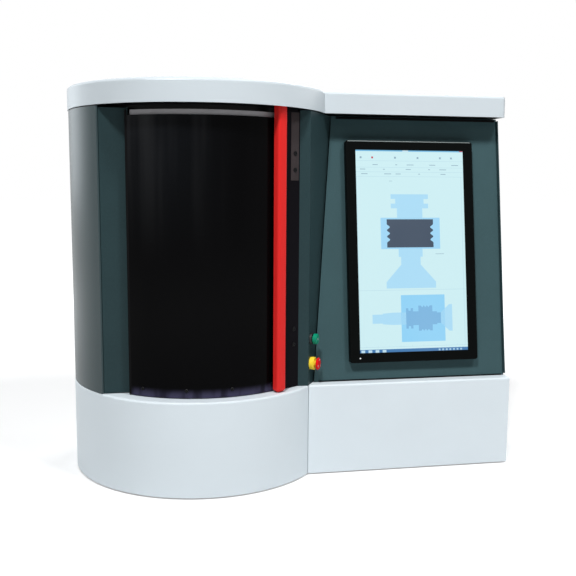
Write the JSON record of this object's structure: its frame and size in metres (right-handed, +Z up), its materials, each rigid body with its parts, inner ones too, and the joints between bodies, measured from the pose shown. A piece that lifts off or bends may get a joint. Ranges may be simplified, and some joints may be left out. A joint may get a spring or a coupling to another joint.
{
  "type": "optical shaft measuring machine",
  "caption": "Bench machine that measures turned shafts optically: a round chamber behind a curved sliding door, and a leaning screen panel with an upright display.",
  "frame": {"origin": "middle of the machine's footprint, on the surface that it stands on", "axes": "+X to the right as seen from the front, along the long side; +Y to the back; +Z up"},
  "size_m": [1.1315, 0.64, 0.972],
  "materials": {
    "white_paint": "satin",
    "slate_paint": "fine texture",
    "dark_paint": "fine texture",
    "frame_paint": "satin",
    "zinc_sheet": "zinc plated",
    "black_metal": "satin",
    "grey_aluminium": "brushed",
    "bright_aluminium": "anodised",
    "black_aluminium": "black anodised",
    "cast_iron": "ground top",
    "grey_casting": "painted",
    "hard_steel": "ground",
    "red_paint": "satin",
    "window_tint": "dark clear sheet",
    "display": "anti-glare",
    "bezel_plastic": "fine matt",
    "black_plastic": "matt",
    "rubber": "matt",
    "green_plastic": "gloss",
    "yellow_plastic": "gloss",
    "red_plastic": "gloss",
    "glide_plastic": "natural"
  },
  "bodies": {
    "housing": {"levelling_feet": "rubber", "base_frame": "frame_paint", "frame_posts": "frame_paint", "drum_base_cover": "white_paint", "wing_base_cover": "white_paint", "isolators": "rubber", "bed_plate": "cast_iron", "left_wall": "slate_paint", "right_cheek": "slate_paint", "screen_panel": "slate_paint", "wing_side_panel": "slate_paint", "rear_panel_drum": "slate_paint", "rear_panel_wing": "slate_paint", "partition_wall": "zinc_sheet", "uprights": "zinc_sheet", "roof_plate": "zinc_sheet", "top_cover": "white_paint", "jamb_strip": "dark_paint", "closing_post": "dark_paint", "door_tracks": "black_metal", "monitor_bezel": "bezel_plastic", "display_glass": "display", "monitor_back": "black_plastic", "start_collar": "black_plastic", "stop_collar": "yellow_plastic", "column": "grey_casting", "guide_rails": "hard_steel", "screw_supports": "hard_steel", "drive_motor": "black_aluminium", "headstock": "grey_casting", "spindle_motor": "black_aluminium", "computer": "bright_aluminium", "power_supply": "zinc_sheet", "fan_frame": "black_plastic", "power_inlet": "black_plastic"},
    "door": {"door_side_plate": "slate_paint", "door_frame": "black_metal", "door_top_rail": "grey_aluminium", "door_window": "window_tint", "door_edge_seal": "rubber", "door_handle": "red_paint", "door_glides": "glide_plastic"},
    "start_button": {"start_cap": "green_plastic"},
    "stop_plunger": {"stop_stem": "yellow_plastic"},
    "stop_head": {"stop_cap": "red_plastic"},
    "fork": {"fork_plate": "bright_aluminium", "left_arm": "bright_aluminium", "right_arm": "bright_aluminium", "telecentric_lens": "black_aluminium", "camera": "black_aluminium", "light_unit": "black_aluminium"},
    "lead_screw": {"ball_screw": "hard_steel"},
    "work_spindle": {"spindle": "hard_steel"},
    "tailstock_slide": {"tailstock": "grey_casting"},
    "quill_bar": {"quill": "hard_steel"},
    "upper_centre": {"live_centre": "hard_steel"},
    "lift_lever": {"quill_lever": "hard_steel"},
    "lock_lever": {"clamp_lever": "black_metal"},
    "fan_rotor": {"fan_impeller": "black_plastic"},
    "mains_rocker": {"power_rocker": "black_plastic"}
  },
  "joints": [
    {"name": "door_turn", "type": "hinge", "parent": "housing", "child": "door", "pos_m": [-0.23375, 0.012, 0.575], "axis": [0, 0, -1], "range_deg": [0, 75]},
    {"name": "start_press", "type": "slide", "parent": "housing", "child": "start_button", "axis": [-0.8678, 0.497, 0], "range_m": [0, 0.003], "stiffness_N_per_m": 900, "springref_m": -0.002},
    {"name": "stop_press", "type": "slide", "parent": "housing", "child": "stop_plunger", "axis": [-0.8678, 0.497, 0], "range_m": [0, 0.0035]},
    {"name": "stop_release", "type": "hinge", "parent": "stop_plunger", "child": "stop_head", "pos_m": [0.04674, -0.19222, 0.2882], "axis": [-0.8678, 0.497, 0], "range_deg": [0, 35], "stiffness_Nm_per_rad": 0.05, "springref_deg": -20.05},
    {"name": "fork_travel", "type": "slide", "parent": "housing", "child": "fork", "axis": [0, 0, 1], "range_m": [0, 0.26]},
    {"name": "screw_turn", "type": "hinge", "parent": "housing", "child": "lead_screw", "pos_m": [-0.23375, 0.234, 0.52], "axis": [0, 0, 1], "range_deg": [0, 9361]},
    {"name": "spindle_turn", "type": "hinge", "parent": "housing", "child": "work_spindle", "pos_m": [-0.23375, 0.012, 0.25], "axis": [0, 0, 1], "continuous": true},
    {"name": "tailstock_travel", "type": "slide", "parent": "housing", "child": "tailstock_slide", "axis": [0, 0, 1], "range_m": [-0.2, 0.06]},
    {"name": "quill_lift", "type": "slide", "parent": "tailstock_slide", "child": "quill_bar", "axis": [0, 0, 1], "range_m": [0, 0.02], "stiffness_N_per_m": 1500, "springref_m": -0.01},
    {"name": "lever_turn", "type": "hinge", "parent": "tailstock_slide", "child": "lift_lever", "pos_m": [-0.20375, -0.003, 0.711], "axis": [0, 1, 0], "range_deg": [0, 82]},
    {"name": "upper_centre_turn", "type": "hinge", "parent": "quill_bar", "child": "upper_centre", "pos_m": [-0.23375, 0.012, 0.66], "axis": [0, 0, 1], "continuous": true},
    {"name": "lock_turn", "type": "hinge", "parent": "tailstock_slide", "child": "lock_lever", "pos_m": [-0.17975, 0.092, 0.776], "axis": [-1, 0, 0], "range_deg": [0, 70]},
    {"name": "fan_turn", "type": "hinge", "parent": "housing", "child": "fan_rotor", "pos_m": [0.43575, 0.298, 0.754], "axis": [0, 1, 0], "continuous": true},
    {"name": "rocker_tip", "type": "hinge", "parent": "housing", "child": "mains_rocker", "pos_m": [0.44575, 0.311, 0.317], "axis": [-1, 0, 0], "range_deg": [0, 13]}
  ],
  "couplings": [
    {"joint": "screw_turn", "follows": "fork_travel", "rad_per_m": 628.32},
    {"joint": "lever_turn", "follows": "quill_lift", "rad_per_m": 71.429}
  ]
}
